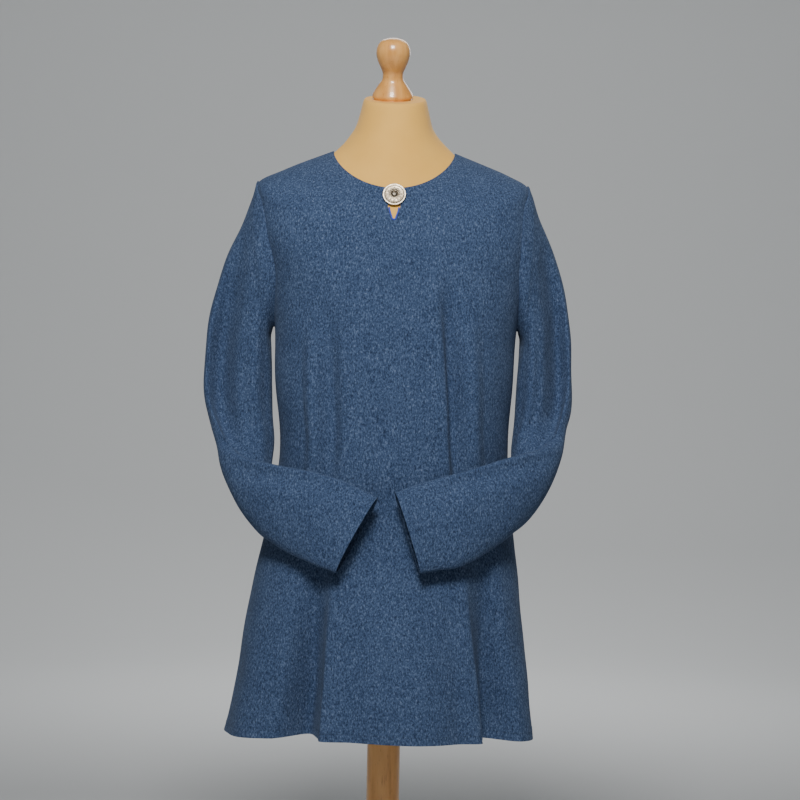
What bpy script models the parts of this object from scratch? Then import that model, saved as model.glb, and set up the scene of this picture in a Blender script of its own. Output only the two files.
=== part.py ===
"""A wool tunic of viking cut, pulled over a limbless dress form that stands on a wooden pole and a round foot.

Sizes and tables are in millimetres, and each mesh is scaled to metres at the end. The front faces -Y, +X is to the
right of someone who looks at the front, and the origin is on the floor under the middle of the foot. Left and right
are those of the viewer.

The tunic's outer face is one smooth surface. A place runs up it through the rings of BODY, 0 at the hem, and an
angle runs round it: 0 at the left side, 90 at the front, 180 at the right side and 270 at the back.
"""

import math
from collections import namedtuple

import bmesh
import bpy
import numpy as np
from mathutils import Matrix, Vector

MM = 0.001

# The cloth and its seams
WALL = 2.0
SEAM = 0.3
SHOULDER_GAP = 0.5

# How finely the pieces are divided
FRONT_COLUMNS = 32
BACK_COLUMNS = 20
GORE_COLUMNS = 8
SKIRT_ROWS = 16
ARMHOLE_ROWS = 12
SHOULDER_ROWS = 5
SLEEVE_RINGS = 18
TURNED_STEPS = 26

# The tunic's rings, from the hem to the neckline. The height is that of the side, and a drop says how much lower
# the ring passes at the middle of the front or the back. Fullness 2 is an ellipse, and more is squarer.
Ring = namedtuple("Ring", "height left right front front_drop back back_drop fullness drop_power")
BODY = (
    Ring(437, 272, 252, 160, -12, 156, 0, 2.15, 2.0),
    Ring(530, 252, 242, 152, -6, 147, 0, 2.20, 2.0),
    Ring(640, 235, 229, 143, 0, 135, 0, 2.25, 2.0),
    Ring(750, 214, 217, 135, 0, 122, 0, 2.30, 2.0),
    Ring(850, 194, 203, 129, 0, 111, 0, 2.40, 2.0),
    Ring(930, 185, 199, 127, 0, 106, 0, 2.40, 2.0),
    Ring(1010, 194, 205, 127, 0, 106, 0, 2.40, 2.0),
    Ring(1120, 199, 212, 128, 0, 109, 0, 2.40, 1.8),
    Ring(1205, 207, 222, 127, 24, 114, 16, 2.40, 1.8),
    Ring(1285, 228, 231, 124, 58, 117, 44, 2.35, 1.7),
    Ring(1338, 233, 229, 119, 78, 115, 58, 2.30, 1.7),
    Ring(1366, 231, 223, 115, 84, 109, 60, 2.20, 1.7),
    Ring(1386, 191, 187, 109, 80, 98, 46, 2.10, 1.65),
    Ring(1404, 149, 144, 102, 76, 84, 32, 2.05, 1.5),
    Ring(1421, 105, 101, 95, 72, 70, 20, 2.00, 1.25),
)
ARMPIT = 7
CORNER = 11
NECK = 14

# Where the side edges of the front and back panels run, as an angle away from the side
GORE_ROWS = 12
GORE_TOP = ARMPIT * GORE_ROWS / SKIRT_ROWS
GORE_TIP = 0.9
GORE_ANGLE = 57
GORE_CURVE = 0.8
ARMHOLE_ANGLE = 25
ARMHOLE_CURVE = 0.7

# The folds of front, back and gores. A closed fold fades out at both ends, an open one grows down to the hem.
Fold = namedtuple("Fold", "top_angle low_angle half_width depth top bottom open_end")
FOLDS = (
    Fold(96, 99, 34, 26, 800, 437, True),
    Fold(66, 60, 14, -36, 830, 437, True),
    Fold(127, 138, 15, -28, 830, 437, True),
    Fold(30, 33, 20, 10, 760, 437, True),
    Fold(160, 158, 16, 8, 760, 437, True),
    Fold(212, 216, 14, -22, 820, 437, True),
    Fold(238, 241, 18, 16, 800, 437, True),
    Fold(264, 266, 13, -20, 860, 437, True),
    Fold(294, 291, 17, 14, 780, 437, True),
    Fold(322, 319, 14, -26, 840, 437, True),
    Fold(63, 62, 9, -7, 1150, 850, False),
    Fold(52, 52, 8, 4, 1130, 860, False),
    Fold(110, 124, 9, -8, 1205, 850, False),
    Fold(128, 138, 9, 4, 1150, 860, False),
    Fold(88, 87, 10, -9, 870, 640, False),
    Fold(236, 232, 12, -7, 1180, 860, False),
    Fold(300, 306, 11, -8, 1200, 850, False),
)

# The sleeves' sections, from the shoulder to the cuff. Each sleeve is a soft tube, nearly flat, so a section is two
# edges and half the depth between its faces. The upper arm hangs beside the body. Below the elbow the tube is folded
# forward on a slant, and its outer edge becomes the upper edge of the forearm. Across is measured from the middle.
Section = namedtuple("Section", "outer_across outer_y outer_z inner_across inner_y inner_z half_depth")
LEFT_SLEEVE = (
    Section(239, 0, 1342, 205, 0, 1112, 56),
    Section(255, 2, 1301, 207, 0, 1100, 48),
    Section(282, 5, 1239, 205, 0, 1080, 41),
    Section(301, 6, 1178, 203, 0, 1052, 36),
    Section(313, 5, 1116, 202, 0, 1018, 33),
    Section(318, 2, 1044, 200, -2, 972, 31),
    Section(315, -8, 993, 196, -8, 922, 29),
    Section(300, -28, 953, 199, -30, 864, 27),
    Section(279, -56, 922, 202, -72, 785, 25),
    Section(247, -86, 904, 183, -102, 760, 22),
    Section(192, -116, 891, 154, -126, 745, 20),
    Section(100, -142, 876, 119, -150, 732, 19),
    Section(53, -150, 859, 96, -158, 725, 18),
    Section(16, -156, 843, 81, -166, 721, 17),
)
RIGHT_SLEEVE = (
    Section(232, 0, 1351, 217, 0, 1112, 56),
    Section(246, 2, 1311, 219, 0, 1100, 48),
    Section(273, 5, 1250, 217, 0, 1080, 41),
    Section(292, 6, 1190, 215, 0, 1052, 36),
    Section(301, 5, 1128, 213, 0, 1018, 33),
    Section(306, 2, 1057, 211, -2, 975, 31),
    Section(306, -8, 1006, 209, -8, 930, 29),
    Section(298, -28, 972, 209, -30, 886, 27),
    Section(284, -56, 944, 211, -72, 806, 25),
    Section(251, -86, 924, 195, -102, 780, 22),
    Section(195, -116, 909, 163, -126, 755, 20),
    Section(100, -142, 880, 122, -150, 734, 19),
    Section(54, -150, 865, 86, -158, 727, 18),
    Section(11, -156, 850, 54, -166, 722, 17),
)
SECTION_POWER = 0.85
COLLAR = 3.0

# Creases of the sleeves: the angle round the section (0 outer edge, 90 front face, 180 inner edge, 270 back face),
# then the sections between which the crease runs
Crease = namedtuple("Crease", "angle half_width depth start end")
CREASES = (
    Crease(62, 34, -12, 1.2, 8.0),
    Crease(118, 26, 5, 1.0, 6.5),
    Crease(318, 30, -7, 8.2, 12.0),
    Crease(250, 34, -8, 1.5, 6.5),
)

# The keyhole slit: half its width at depths below the neckline, ending in a half circle
SlitRow = namedtuple("SlitRow", "depth half_width")
SLIT = (
    SlitRow(-10, 3.5),
    SlitRow(6, 5.0),
    SlitRow(18, 9.0),
    SlitRow(28, 10.5),
    SlitRow(40, 8.5),
    SlitRow(50, 5.2),
)
SLIT_POINTS = 16
SLIT_END_POINTS = 8
CUTTER_NEAR = -60
CUTTER_FAR = -160
EDGING_RADIUS = 1.4
EDGING_DEPTH = 0.6
EDGING_START = 32

# The button's turned profile, radius and height, from its middle down its outer side
BUTTON_HEIGHT = 1337
BUTTON_PROFILE = (
    (0, 6.2), (2.6, 5.8), (4.6, 4.4), (5.4, 3.4), (6.2, 4.2), (7.6, 4.2), (8.4, 3.2), (13.6, 2.9), (14.4, 3.7),
    (16.0, 3.6), (16.8, 2.7), (18.6, 2.6), (19.5, 1.6), (19.2, 0.4), (18.2, 0), (0, 0),
)

# The dress form below the shoulders, its neck, and the slanted plane on top of the neck
FORM = (
    Ring(690, 160, 162, 96, 0, 98, 0, 2.3, 2.0),
    Ring(697, 169, 171, 103, 0, 105, 0, 2.3, 2.0),
    Ring(745, 176, 178, 109, 0, 108, 0, 2.3, 2.0),
    Ring(815, 172, 175, 109, 0, 103, 0, 2.3, 2.0),
    Ring(890, 158, 163, 102, 0, 95, 0, 2.3, 2.0),
    Ring(960, 150, 157, 98, 0, 90, 0, 2.3, 2.0),
    Ring(1040, 160, 167, 104, 0, 92, 0, 2.3, 2.0),
    Ring(1120, 176, 184, 111, 4, 96, 4, 2.3, 1.9),
    Ring(1200, 188, 195, 116, 24, 102, 18, 2.3, 1.8),
    Ring(1275, 205, 207, 116, 54, 106, 44, 2.3, 1.7),
    Ring(1328, 219, 213, 112, 76, 106, 57, 2.3, 1.6),
)
FORM_STEP = 2
FORM_NECK = (
    Ring(1434, 88, 84, 83, 58, 64, 16, 2.0, 1.2),
    Ring(1446, 79, 73, 73, 42, 60, 8, 2.0, 1.1),
    Ring(1462, 69, 63, 64, 29, 57, -4, 2.0, 1.05),
    Ring(1484, 62, 57, 58, 20, 55, -14, 2.0, 1.0),
    Ring(1505, 57, 52, 55, 17.9, 55, -17.9, 2.0, 1.0),
    Ring(1511, 54, 49, 52, 16.9, 52, -16.9, 2.0, 1.0),
)
NECK_SLOPE = math.atan(16.9 / 52)

# The turned wooden pieces: radius and height, from the top down the outer side
KNOB_X = -7
KNOB_PROFILE = (
    (0, 102), (10, 101), (21, 96.5), (27, 87.5), (28.8, 77), (26.8, 66), (22.6, 55.5), (18.3, 46), (17.4, 39),
    (18.6, 32), (24, 24), (30, 15), (34, 8), (34.5, 4), (32.5, 0.5), (31, 0), (0, 0),
)
FOOT_HEIGHT = 60
FOOT_PROFILE = (
    (0, 60), (40, 60), (44, 56), (47, 38), (58, 31), (150, 27), (188, 24), (197, 18), (200, 9), (198, 0), (0, 0),
)
POLE_RADIUS = 28


def start_empty():
    """An empty scene with a collection for the object and one for the cutters."""
    for thing in list(bpy.data.objects):
        bpy.data.objects.remove(thing)
    made = {}
    for name in ("viking_tunic_on_form", "cutters"):
        made[name] = bpy.data.collections.new(name)
        bpy.context.scene.collection.children.link(made[name])
    return made["viking_tunic_on_form"], made["cutters"]


def make_material(name, colour, roughness, metallic=0.0):
    material = bpy.data.materials.new(name)
    material.use_nodes = True
    shader = material.node_tree.nodes["Principled BSDF"]
    shader.inputs["Base Color"].default_value = (*colour, 1.0)
    shader.inputs["Roughness"].default_value = roughness
    shader.inputs["Metallic"].default_value = metallic
    return material


def smooth_row(rows, place):
    """The row at a place in a table, on a smooth curve through its rows."""
    last = len(rows) - 1
    index = max(0, min(int(place), last - 1))
    part = place - index
    before, start, end, after = (np.array(rows[min(max(near, 0), last)], float) for near in range(index - 1, index + 3))
    bend = 2 * before - 5 * start + 4 * end - after
    twist = 3 * start - before - 3 * end + after
    return 0.5 * (2 * start + (end - before) * part + bend * part**2 + twist * part**3)


def ring_point(ring, angle):
    """The ring's point at an angle, and the way straight out from it."""
    across, forward = math.cos(math.radians(angle)), math.sin(math.radians(angle))
    half_width = ring.left if across > 0 else ring.right
    depth, drop = (ring.front, ring.front_drop) if forward > 0 else (ring.back, ring.back_drop)
    power = 2 / ring.fullness
    x = -math.copysign(half_width * abs(across) ** power, across)
    y = -math.copysign(depth * abs(forward) ** power, forward)
    z = ring.height - drop * abs(forward) ** ring.drop_power
    out = np.array([x / half_width**2, y / depth**2, 0.0])
    return np.array([x, y, z]), out / np.linalg.norm(out)


def bump(distance):
    """A soft bump, 1 in its middle and 0 from 1 away."""
    return 0.5 + 0.5 * math.cos(math.pi * distance) if abs(distance) < 1 else 0.0


def fold_depth(angle, height):
    """How far the folds move the cloth out, or in where it is below zero."""
    total = 0.0
    for fold in FOLDS:
        share = (fold.top - height) / (fold.top - fold.bottom)
        if share <= 0 or (share >= 1 and not fold.open_end):
            continue
        share = min(share, 1)
        strength = share * share * (3 - 2 * share) if fold.open_end else math.sin(math.pi * share)
        middle = fold.top_angle + (fold.low_angle - fold.top_angle) * share
        away = (angle - middle + 180) % 360 - 180
        total += fold.depth * strength * bump(away / fold.half_width)
    return total


def cloth_point(place, angle):
    """A point of the tunic's outer face, with its folds."""
    point, out = ring_point(Ring(*smooth_row(BODY, place)), angle)
    return point + out * fold_depth(angle, point[2])


def cloth_normal(place, angle):
    """The way out of the cloth at a point. It is the same for two pieces that meet there."""
    around = cloth_point(place, angle + 0.6) - cloth_point(place, angle - 0.6)
    upward = cloth_point(place + 0.02, angle) - cloth_point(place - 0.02, angle)
    normal = np.cross(around, upward)
    return normal / np.linalg.norm(normal)


def edge_angle(place):
    """How far from the side the panels end: at the gore, the side seam, the armhole and the shoulder seam."""
    if place < GORE_TOP:
        return GORE_ANGLE * ((GORE_TOP - place) / GORE_TOP) ** GORE_CURVE
    if ARMPIT < place < CORNER:
        share = (place - ARMPIT) / (CORNER - ARMPIT)
        return ARMHOLE_ANGLE * math.sin(math.pi * share) ** ARMHOLE_CURVE
    return 0.0


def armhole_place(turn):
    """The place on the armhole at a turn round it: 0 at the shoulder, 180 at the armpit."""
    return CORNER - (CORNER - ARMPIT) * (1 - math.cos(math.radians(turn))) / 2


def body_rows():
    """The places of the mesh's rows, which front, back, gores and sleeve heads share where they meet."""
    skirt = [ARMPIT * row / SKIRT_ROWS for row in range(SKIRT_ROWS)]
    armhole = [armhole_place(180 - 180 * row / ARMHOLE_ROWS) for row in range(ARMHOLE_ROWS + 1)]
    shoulder = [CORNER + (NECK - CORNER) * row / SHOULDER_ROWS for row in range(1, SHOULDER_ROWS + 1)]
    return skirt + armhole + shoulder


def surface_grid(places, columns, start, end):
    """Rows of points of the outer face and their normals. Start and end give the edge angles of a row."""
    points, normals = [], []
    for place in places:
        angles = [start(place) + (end(place) - start(place)) * column / columns for column in range(columns + 1)]
        points.append([cloth_point(place, angle) for angle in angles])
        normals.append([cloth_normal(place, angle) for angle in angles])
    return np.array(points), np.array(normals)


def wall_from(points, normals):
    """Outer and inner points of a panel, with its side edges drawn in by half the gap of a seam."""
    shift = np.zeros_like(points)
    for edge, neighbour in ((0, 1), (-1, -2)):
        inward = points[:, neighbour] - points[:, edge]
        shift[:, edge] = inward / np.linalg.norm(inward, axis=1)[:, None] * SEAM / 2
    return points + shift, points + shift - normals * WALL


def link_mesh(name, vertices, faces, material, collection, smooth=True):
    """A mesh object from points in millimetres, with its faces pointing out."""
    mesh = bpy.data.meshes.new(name)
    mesh.from_pydata([Vector(vertex) * MM for vertex in vertices], [], faces)
    work = bmesh.new()
    work.from_mesh(mesh)
    bmesh.ops.recalc_face_normals(work, faces=work.faces)
    work.to_mesh(mesh)
    work.free()
    if smooth:
        mesh.shade_smooth()
        mesh.set_sharp_from_angle(angle=math.radians(50))
    mesh.materials.append(material)
    thing = bpy.data.objects.new(name, mesh)
    collection.objects.link(thing)
    return thing


def add_wall(name, outer, inner, closed_ring, material, collection):
    """A sheet of cloth between two grids of points, closed along its rims. A closed ring makes it a tube."""
    rows, columns = outer.shape[:2]
    inside = rows * columns
    faces = []
    for row in range(rows - 1):
        for column in range(columns if closed_ring else columns - 1):
            beside = (column + 1) % columns
            a, b = row * columns + column, row * columns + beside
            c, d = b + columns, a + columns
            faces.append((a, b, c, d))
            faces.append((c + inside, b + inside, a + inside, d + inside))
    for column in range(columns if closed_ring else columns - 1):
        beside = (column + 1) % columns
        for first in (0, (rows - 1) * columns):
            faces.append((first + column, first + beside, first + beside + inside, first + column + inside))
    if not closed_ring:
        for row in range(rows - 1):
            for column in (0, columns - 1):
                low, high = row * columns + column, (row + 1) * columns + column
                faces.append((low, high, high + inside, low + inside))
    vertices = np.concatenate([outer.reshape(-1, 3), inner.reshape(-1, 3)])
    return link_mesh(name, vertices, faces, material, collection)


def add_panels(material, collection):
    """The front and the back, from hem to neckline. Returns the front."""
    rows = body_rows()
    front = surface_grid(rows, FRONT_COLUMNS, edge_angle, lambda place: 180 - edge_angle(place))
    back = surface_grid(rows, BACK_COLUMNS, lambda place: 180 + edge_angle(place), lambda place: 360 - edge_angle(place))
    add_wall("back_panel", *wall_from(*back), False, material, collection)
    return add_wall("front_panel", *wall_from(*front), False, material, collection)


def add_gore(name, side_angle, material, collection):
    """A triangle folded round one side, which ends in a narrow tip where front and back meet."""
    rows = body_rows()[:GORE_ROWS]
    grid = surface_grid(
        rows, GORE_COLUMNS, lambda place: side_angle - edge_angle(place), lambda place: side_angle + edge_angle(place)
    )
    tips = cloth_point(GORE_TOP, side_angle), cloth_normal(GORE_TOP, side_angle)
    points, normals = (
        np.concatenate([values, values[-1:] + (tip - values[-1:]) * GORE_TIP]) for values, tip in zip(grid, tips)
    )
    add_wall(name, *wall_from(points, normals), False, material, collection)


def crease_depth(angle, place):
    """How far the creases move the face of a sleeve out, or in where it is below zero."""
    total = 0.0
    for crease in CREASES:
        share = (place - crease.start) / (crease.end - crease.start)
        if 0 < share < 1:
            away = (angle - crease.angle + 180) % 360 - 180
            total += crease.depth * math.sin(math.pi * share) * bump(away / crease.half_width)
    return total


def armhole_turns():
    """The turns of a sleeve's points round its section, two for each row of the panels along the armhole."""
    sides = 2 * ARMHOLE_ROWS
    return [360 * step / sides for step in range(sides)]


def armhole_ring(side, out_by):
    """The sleeve's points in the armhole, a seam's gap inside its edge and moved out of the panel by a distance."""
    edges, normals = [], []
    for turn in armhole_turns():
        place = armhole_place(turn)
        away = edge_angle(place) if turn <= 180 else -edge_angle(place)
        angle = away if side < 0 else 180 - away
        edges.append(cloth_point(place, angle))
        normals.append(cloth_normal(place, angle))
    inward = np.mean(edges, axis=0) - edges
    inward /= np.linalg.norm(inward, axis=1)[:, None]
    return edges + inward * SEAM + np.array(normals) * out_by


def section_frame(sections, side, place):
    """The middle of a section, the way to its outer edge, and half its depth."""
    row = Section(*smooth_row(sections, place))
    outer = np.array([side * row.outer_across, row.outer_y, row.outer_z])
    inner = np.array([side * row.inner_across, row.inner_y, row.inner_z])
    return (outer + inner) / 2, (outer - inner) / 2, row.half_depth


def section_ring(sections, side, place):
    """One ring of a sleeve: a flat oval between its two edges, facing along the sleeve."""
    middle, outward, half_depth = section_frame(sections, side, place)
    ahead = section_frame(sections, side, place + 0.1)[0] - section_frame(sections, side, place - 0.1)[0]
    faceward = np.cross(outward, ahead) * -side
    faceward /= np.linalg.norm(faceward)
    ring = []
    for turn in armhole_turns():
        across, forward = math.cos(math.radians(turn)), math.sin(math.radians(turn))
        rise = math.copysign(half_depth * abs(forward) ** SECTION_POWER, forward)
        rise += math.copysign(crease_depth(turn, place), forward)
        ring.append(middle + outward * across + faceward * rise)
    return np.array(ring)


def grid_normals(grid, side):
    """The normals of a tube's grid of points, pointing out of the tube."""
    around = np.roll(grid, -1, axis=1) - np.roll(grid, 1, axis=1)
    along = np.gradient(grid, axis=0)
    normals = np.cross(around, along) * side
    return normals / np.linalg.norm(normals, axis=2)[:, :, None]


def add_sleeve(name, sections, side, material, collection):
    """A tube from the armhole to the open cuff. The side is -1 for the left one and 1 for the right one."""
    rings = [armhole_ring(side, out_by) for out_by in (-WALL, 0.0, COLLAR)]
    last = len(sections) - 1
    rings += [section_ring(sections, side, last * step / (SLEEVE_RINGS - 1)) for step in range(SLEEVE_RINGS)]
    outer = np.array(rings)
    inner = outer - grid_normals(outer, side) * WALL
    add_wall(name, outer, inner, True, material, collection)


def slit_outline():
    """The slit's right half, as x and depth below the neckline, down to the bottom of its round end."""
    last = len(SLIT) - 1
    rows = [SlitRow(*smooth_row(SLIT, last * step / SLIT_POINTS)) for step in range(SLIT_POINTS + 1)]
    points = [(row.half_width, row.depth) for row in rows]
    radius, end = SLIT[-1].half_width, SLIT[-1].depth
    for step in range(1, SLIT_END_POINTS + 1):
        turn = math.pi / 2 * step / SLIT_END_POINTS
        points.append((radius * math.cos(turn), end + radius * math.sin(turn)))
    return points


def add_slit_cutter(material, collection):
    """The prism that cuts the slit."""
    top = cloth_point(NECK, 90)[2]
    half = slit_outline()
    outline = half + [(-x, depth) for x, depth in reversed(half[:-1])]
    count = len(outline)
    vertices = [(x, y, top - depth) for y in (CUTTER_NEAR, CUTTER_FAR) for x, depth in outline]
    faces = [tuple(range(count)), tuple(range(2 * count - 1, count - 1, -1))]
    faces += [(step, (step + 1) % count, count + (step + 1) % count, count + step) for step in range(count)]
    cutter = link_mesh("slit_cutter", vertices, faces, material, collection, smooth=False)
    cutter.display_type = "WIRE"
    cutter.hide_render = True
    return cutter


def cut(thing, cutter):
    modifier = thing.modifiers.new("slit", "BOOLEAN")
    modifier.operation = "DIFFERENCE"
    modifier.solver = "EXACT"
    modifier.object = cutter


def on_front(x, z):
    """The place and angle where the front has this x and z."""
    place, angle, step = NECK - 0.5, 90.0, 0.01
    for _ in range(8):
        here = cloth_point(place, angle)
        by_place = (cloth_point(place + step, angle) - here) / step
        by_angle = (cloth_point(place, angle + step) - here) / step
        slopes = [[by_place[0], by_angle[0]], [by_place[2], by_angle[2]]]
        moves = np.linalg.solve(slopes, [x - here[0], z - here[2]])
        place, angle = place + moves[0], angle + moves[1]
    return place, angle


def add_edging(material, collection):
    """The round binding along the slit, from just below the button round its lower end."""
    top = cloth_point(NECK, 90)[2]
    half = [point for point in slit_outline() if point[1] > EDGING_START]
    outline = half + [(-x, depth) for x, depth in reversed(half[:-1])]
    ways = np.gradient(np.array(outline), axis=0)
    ways /= np.linalg.norm(ways, axis=1)[:, None]
    curve = bpy.data.curves.new("slit_edging", "CURVE")
    curve.dimensions = "3D"
    curve.bevel_depth = EDGING_RADIUS * MM
    curve.bevel_resolution = 2
    curve.use_fill_caps = True
    spline = curve.splines.new("POLY")
    spline.points.add(len(outline) - 1)
    for point, (x, depth), way in zip(spline.points, outline, ways):
        inset = EDGING_RADIUS + SEAM
        place, angle = on_front(x - inset * way[1], top - (depth + inset * way[0]))
        middle = cloth_point(place, angle) - cloth_normal(place, angle) * EDGING_DEPTH
        point.co = (*(middle * MM), 1.0)
    curve.materials.append(material)
    collection.objects.link(bpy.data.objects.new("slit_edging", curve))


def add_turned(name, profile, steps, material, collection):
    """A turned piece: the profile runs from the top down its outer side, and is screwed round Z."""
    mesh = bpy.data.meshes.new(name)
    edges = [(point, point + 1) for point in range(len(profile) - 1)]
    mesh.from_pydata([(radius * MM, 0, height * MM) for radius, height in profile], edges, [])
    mesh.materials.append(material)
    thing = bpy.data.objects.new(name, mesh)
    screw = thing.modifiers.new("turned", "SCREW")
    screw.steps = screw.render_steps = steps
    screw.use_merge_vertices = True
    screw.merge_threshold = 0.00001
    screw.use_smooth_shade = True
    collection.objects.link(thing)
    return thing


def add_button(material, collection):
    """The round relief button, lying flat on the chest over the top of the slit."""
    button = add_turned("button", BUTTON_PROFILE, TURNED_STEPS, material, collection)
    place, angle = on_front(0, BUTTON_HEIGHT)
    normal = Vector(cloth_normal(place, angle))
    seat = Vector(cloth_point(place, angle)) + normal * SEAM
    turn = Vector((0, 0, 1)).rotation_difference(normal).to_matrix().to_4x4()
    button.matrix_world = Matrix.Translation(seat * MM) @ turn


def form_angles():
    """The angles round the form: every second column of the front and the back, so that it lies under them."""
    front = [180 * column / FRONT_COLUMNS for column in range(0, FRONT_COLUMNS, FORM_STEP)]
    back = [180 + 180 * column / BACK_COLUMNS for column in range(0, BACK_COLUMNS, FORM_STEP)]
    return front + back


def add_form(material, collection):
    """The closed torso. On the shoulders it keeps the cloth's own shape, a small gap below the wall."""
    angles = form_angles()
    rings = [[ring_point(ring, angle)[0] for angle in angles] for ring in FORM]
    for place in [place for place in body_rows() if place >= CORNER]:
        depth = WALL + SHOULDER_GAP
        rings.append([cloth_point(place, angle) - cloth_normal(place, angle) * depth for angle in angles])
    rings += [[ring_point(ring, angle)[0] for angle in angles] for ring in FORM_NECK]
    count, sides = len(rings), len(angles)
    faces = [tuple(range(sides)), tuple((count - 1) * sides + step for step in range(sides))]
    for row in range(count - 1):
        for step in range(sides):
            beside = (step + 1) % sides
            low, high = row * sides, (row + 1) * sides
            faces.append((low + step, low + beside, high + beside, high + step))
    link_mesh("form_torso", np.concatenate(rings), faces, material, collection)


def add_knob(material, collection):
    """The turned knob, square to the slanted top of the neck."""
    knob = add_turned("neck_knob", KNOB_PROFILE, TURNED_STEPS, material, collection)
    up = Vector((0, -math.sin(NECK_SLOPE), math.cos(NECK_SLOPE)))
    seat = Vector((KNOB_X, 0, FORM_NECK[-1].height)) + up * SEAM
    knob.matrix_world = Matrix.Translation(seat * MM) @ Matrix.Rotation(NECK_SLOPE, 4, "X")


def add_stand(material, collection):
    """The pole, between the underside of the form and the boss of the round foot."""
    add_turned("base", FOOT_PROFILE, TURNED_STEPS + 8, material, collection)
    low, high = FOOT_HEIGHT + SEAM, FORM[0].height - SEAM
    bpy.ops.mesh.primitive_cylinder_add(
        vertices=TURNED_STEPS,
        radius=POLE_RADIUS * MM,
        depth=(high - low) * MM,
        location=(0, 0, (high + low) / 2 * MM),
    )
    pole = bpy.context.object
    pole.name = pole.data.name = "pole"
    pole.data.shade_smooth()
    pole.data.set_sharp_from_angle(angle=math.radians(50))
    pole.data.materials.append(material)
    for owner in list(pole.users_collection):
        owner.objects.unlink(pole)
    collection.objects.link(pole)


def main():
    parts, cutters = start_empty()
    wool = make_material("blue_wool", (0.045, 0.095, 0.20), 0.9)
    binding = make_material("blue_binding", (0.02, 0.06, 0.45), 0.6)
    metal = make_material("antique_metal", (0.45, 0.40, 0.33), 0.35, 1.0)
    jersey = make_material("cream_jersey", (0.75, 0.52, 0.28), 0.8)
    wood = make_material("varnished_wood", (0.72, 0.42, 0.17), 0.3)
    front = add_panels(wool, parts)
    cut(front, add_slit_cutter(wool, cutters))
    add_gore("gore_left", 0, wool, parts)
    add_gore("gore_right", 180, wool, parts)
    add_sleeve("sleeve_left", LEFT_SLEEVE, -1, wool, parts)
    add_sleeve("sleeve_right", RIGHT_SLEEVE, 1, wool, parts)
    add_edging(binding, parts)
    add_button(metal, parts)
    add_form(jersey, parts)
    add_knob(wood, parts)
    add_stand(wood, parts)


main()
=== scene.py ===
"""The looks of the viking tunic on its dress form: fine cloth over the frame's solids, trim, button, form and wood.

Sizes and tables are in millimetres, and meshes are scaled to metres. The cloth is one smooth surface: a place runs up
it through the rings of BODY, 0 at the hem, and an angle runs round it: 0 left, 90 front, 180 right and 270 back.
"""

import math
from collections import namedtuple

import bmesh
import bpy
import numpy as np
from mathutils import Matrix, Vector


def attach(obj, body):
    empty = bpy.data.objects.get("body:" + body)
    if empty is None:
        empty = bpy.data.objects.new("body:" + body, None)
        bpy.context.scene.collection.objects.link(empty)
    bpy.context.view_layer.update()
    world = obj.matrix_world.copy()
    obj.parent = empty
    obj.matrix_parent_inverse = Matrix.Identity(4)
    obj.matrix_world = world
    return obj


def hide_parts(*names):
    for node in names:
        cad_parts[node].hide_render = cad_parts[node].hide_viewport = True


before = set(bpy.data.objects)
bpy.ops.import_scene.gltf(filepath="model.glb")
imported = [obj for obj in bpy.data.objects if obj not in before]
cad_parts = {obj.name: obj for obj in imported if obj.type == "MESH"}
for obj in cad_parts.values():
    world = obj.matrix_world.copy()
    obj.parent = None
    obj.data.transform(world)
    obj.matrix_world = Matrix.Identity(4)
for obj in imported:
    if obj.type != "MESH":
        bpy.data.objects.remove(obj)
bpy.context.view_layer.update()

MM = 0.001

# The cloth, thinner than its solids, and how finely it is divided
WALL = 1.8
SEAM = 0.3
FRONT_COLUMNS = 150
BACK_COLUMNS = 120
GORE_COLUMNS = 44
BODY_ROWS = 190
SLEEVE_SIDES = 96
SLEEVE_RINGS = 190
FORM_SIDES = 96

# The rings of the tunic, as in the solids
Ring = namedtuple("Ring", "height left right front front_drop back back_drop fullness drop_power")
BODY = (
    Ring(437, 272, 252, 160, -12, 156, 0, 2.15, 2.0),
    Ring(530, 252, 242, 152, -6, 147, 0, 2.20, 2.0),
    Ring(640, 235, 229, 143, 0, 135, 0, 2.25, 2.0),
    Ring(750, 214, 217, 135, 0, 122, 0, 2.30, 2.0),
    Ring(850, 194, 203, 129, 0, 111, 0, 2.40, 2.0),
    Ring(930, 185, 199, 127, 0, 106, 0, 2.40, 2.0),
    Ring(1010, 194, 205, 127, 0, 106, 0, 2.40, 2.0),
    Ring(1120, 199, 212, 128, 0, 109, 0, 2.40, 1.8),
    Ring(1205, 207, 222, 127, 24, 114, 16, 2.40, 1.8),
    Ring(1285, 228, 231, 124, 58, 117, 44, 2.35, 1.7),
    Ring(1338, 233, 229, 119, 78, 115, 58, 2.30, 1.7),
    Ring(1366, 231, 223, 115, 84, 109, 60, 2.20, 1.7),
    Ring(1386, 191, 187, 109, 80, 98, 46, 2.10, 1.65),
    Ring(1404, 149, 144, 102, 76, 84, 32, 2.05, 1.5),
    Ring(1421, 105, 101, 95, 72, 70, 20, 2.00, 1.25),
)
ARMPIT = 7
CORNER = 11
NECK = 14
GORE_TOP = 5.25
GORE_ANGLE = 57
GORE_CURVE = 0.8
ARMHOLE_ANGLE = 25
ARMHOLE_CURVE = 0.7

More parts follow.
